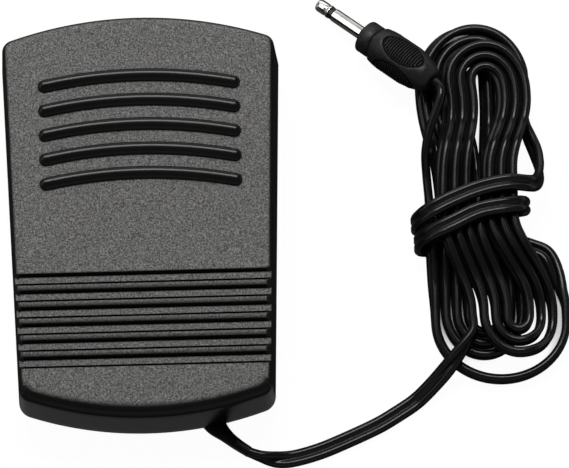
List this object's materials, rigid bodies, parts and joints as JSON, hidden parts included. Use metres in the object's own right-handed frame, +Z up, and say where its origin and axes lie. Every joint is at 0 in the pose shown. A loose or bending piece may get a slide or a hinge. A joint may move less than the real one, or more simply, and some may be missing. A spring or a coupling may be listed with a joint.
{
  "type": "sewing machine pedal",
  "caption": "Small black treadle pedal with a hinged ribbed cover over a base tray, switch inside, flat flex tied in a hank and a jack plug.",
  "frame": {"origin": "on the table, under the middle of the pedal's box", "axes": "+Y from the low hinged heel to the high toe, +X across the pedal towards the hank, +Z up"},
  "size_m": [0.1439, 0.1231, 0.0317],
  "materials": {
    "cover": "fine spark-eroded grain, glossier ribs and edges",
    "tray": "fine satin",
    "switch_housing": "smooth moulded",
    "plunger": "smooth moulded",
    "flex": "shiny soft PVC",
    "plug": "soft moulded PVC",
    "insulator": "smooth",
    "foot": "matt rubber",
    "steel": "bright drawn",
    "nickel": "bright nickel plate",
    "brass": "bright",
    "copper_core": "stranded copper",
    "solder": "bright solder"
  },
  "bodies": {
    "base": {"base_tray": "tray", "cord_clamp": "tray", "cord_grommet": "plug", "rubber_foot_toe_left": "foot", "rubber_foot_toe_right": "foot", "rubber_foot_heel_left": "foot", "rubber_foot_heel_right": "foot", "hinge_pin": "steel", "return_spring": "steel", "switch_case": "switch_housing", "switch_side_cover": "switch_housing", "switch_terminal_common": "brass", "switch_terminal_contact": "brass", "switch_screw_front": "steel", "switch_screw_rear": "steel", "cord_inner_end": "flex", "cord_clamp_screw_left": "steel", "cord_clamp_screw_right": "steel", "lead_wire_common": "copper_core", "lead_wire_contact": "copper_core", "solder_joint_common": "solder", "solder_joint_contact": "solder", "cord_lead": "flex", "cord_hank": "flex", "cord_wrap": "flex", "cord_return": "flex", "plug_body": "plug", "plug_jack_sleeve": "nickel", "plug_jack_insulator": "insulator", "plug_jack_tip": "nickel"},
    "treadle": {"treadle_cover": "cover"},
    "lever": {"switch_lever": "steel"},
    "plunger": {"switch_plunger": "plunger"},
    "blade": {"switch_contact_blade": "brass"}
  },
  "joints": [
    {"name": "treadle_press", "type": "hinge", "parent": "base", "child": "treadle", "pos_m": [0, -0.0402, 0.01], "axis": [-1, 0, 0], "range_deg": [0, 4], "stiffness_Nm_per_rad": 4.9, "springref_deg": -8.02, "deforming": ["return_spring"]},
    {"name": "lever_swing", "type": "hinge", "parent": "base", "child": "lever", "pos_m": [-0.009, -0.0195, 0.0179], "axis": [-1, 0, 0], "range_deg": [0, 10.42]},
    {"name": "plunger_travel", "type": "slide", "parent": "base", "child": "plunger", "axis": [0, 0, -1], "range_m": [0, 0.000643]},
    {"name": "blade_flex", "type": "hinge", "parent": "base", "child": "blade", "pos_m": [-0.009, -0.004, 0.01395], "axis": [1, 0, 0], "range_deg": [0, 3.07]}
  ],
  "couplings": [
    {"joint": "lever_swing", "follows": "treadle_press", "ratio": 2.5923},
    {"joint": "plunger_travel", "follows": "treadle_press", "m_per_rad": 0.0090731},
    {"joint": "blade_flex", "follows": "treadle_press", "ratio": 0.75609}
  ]
}
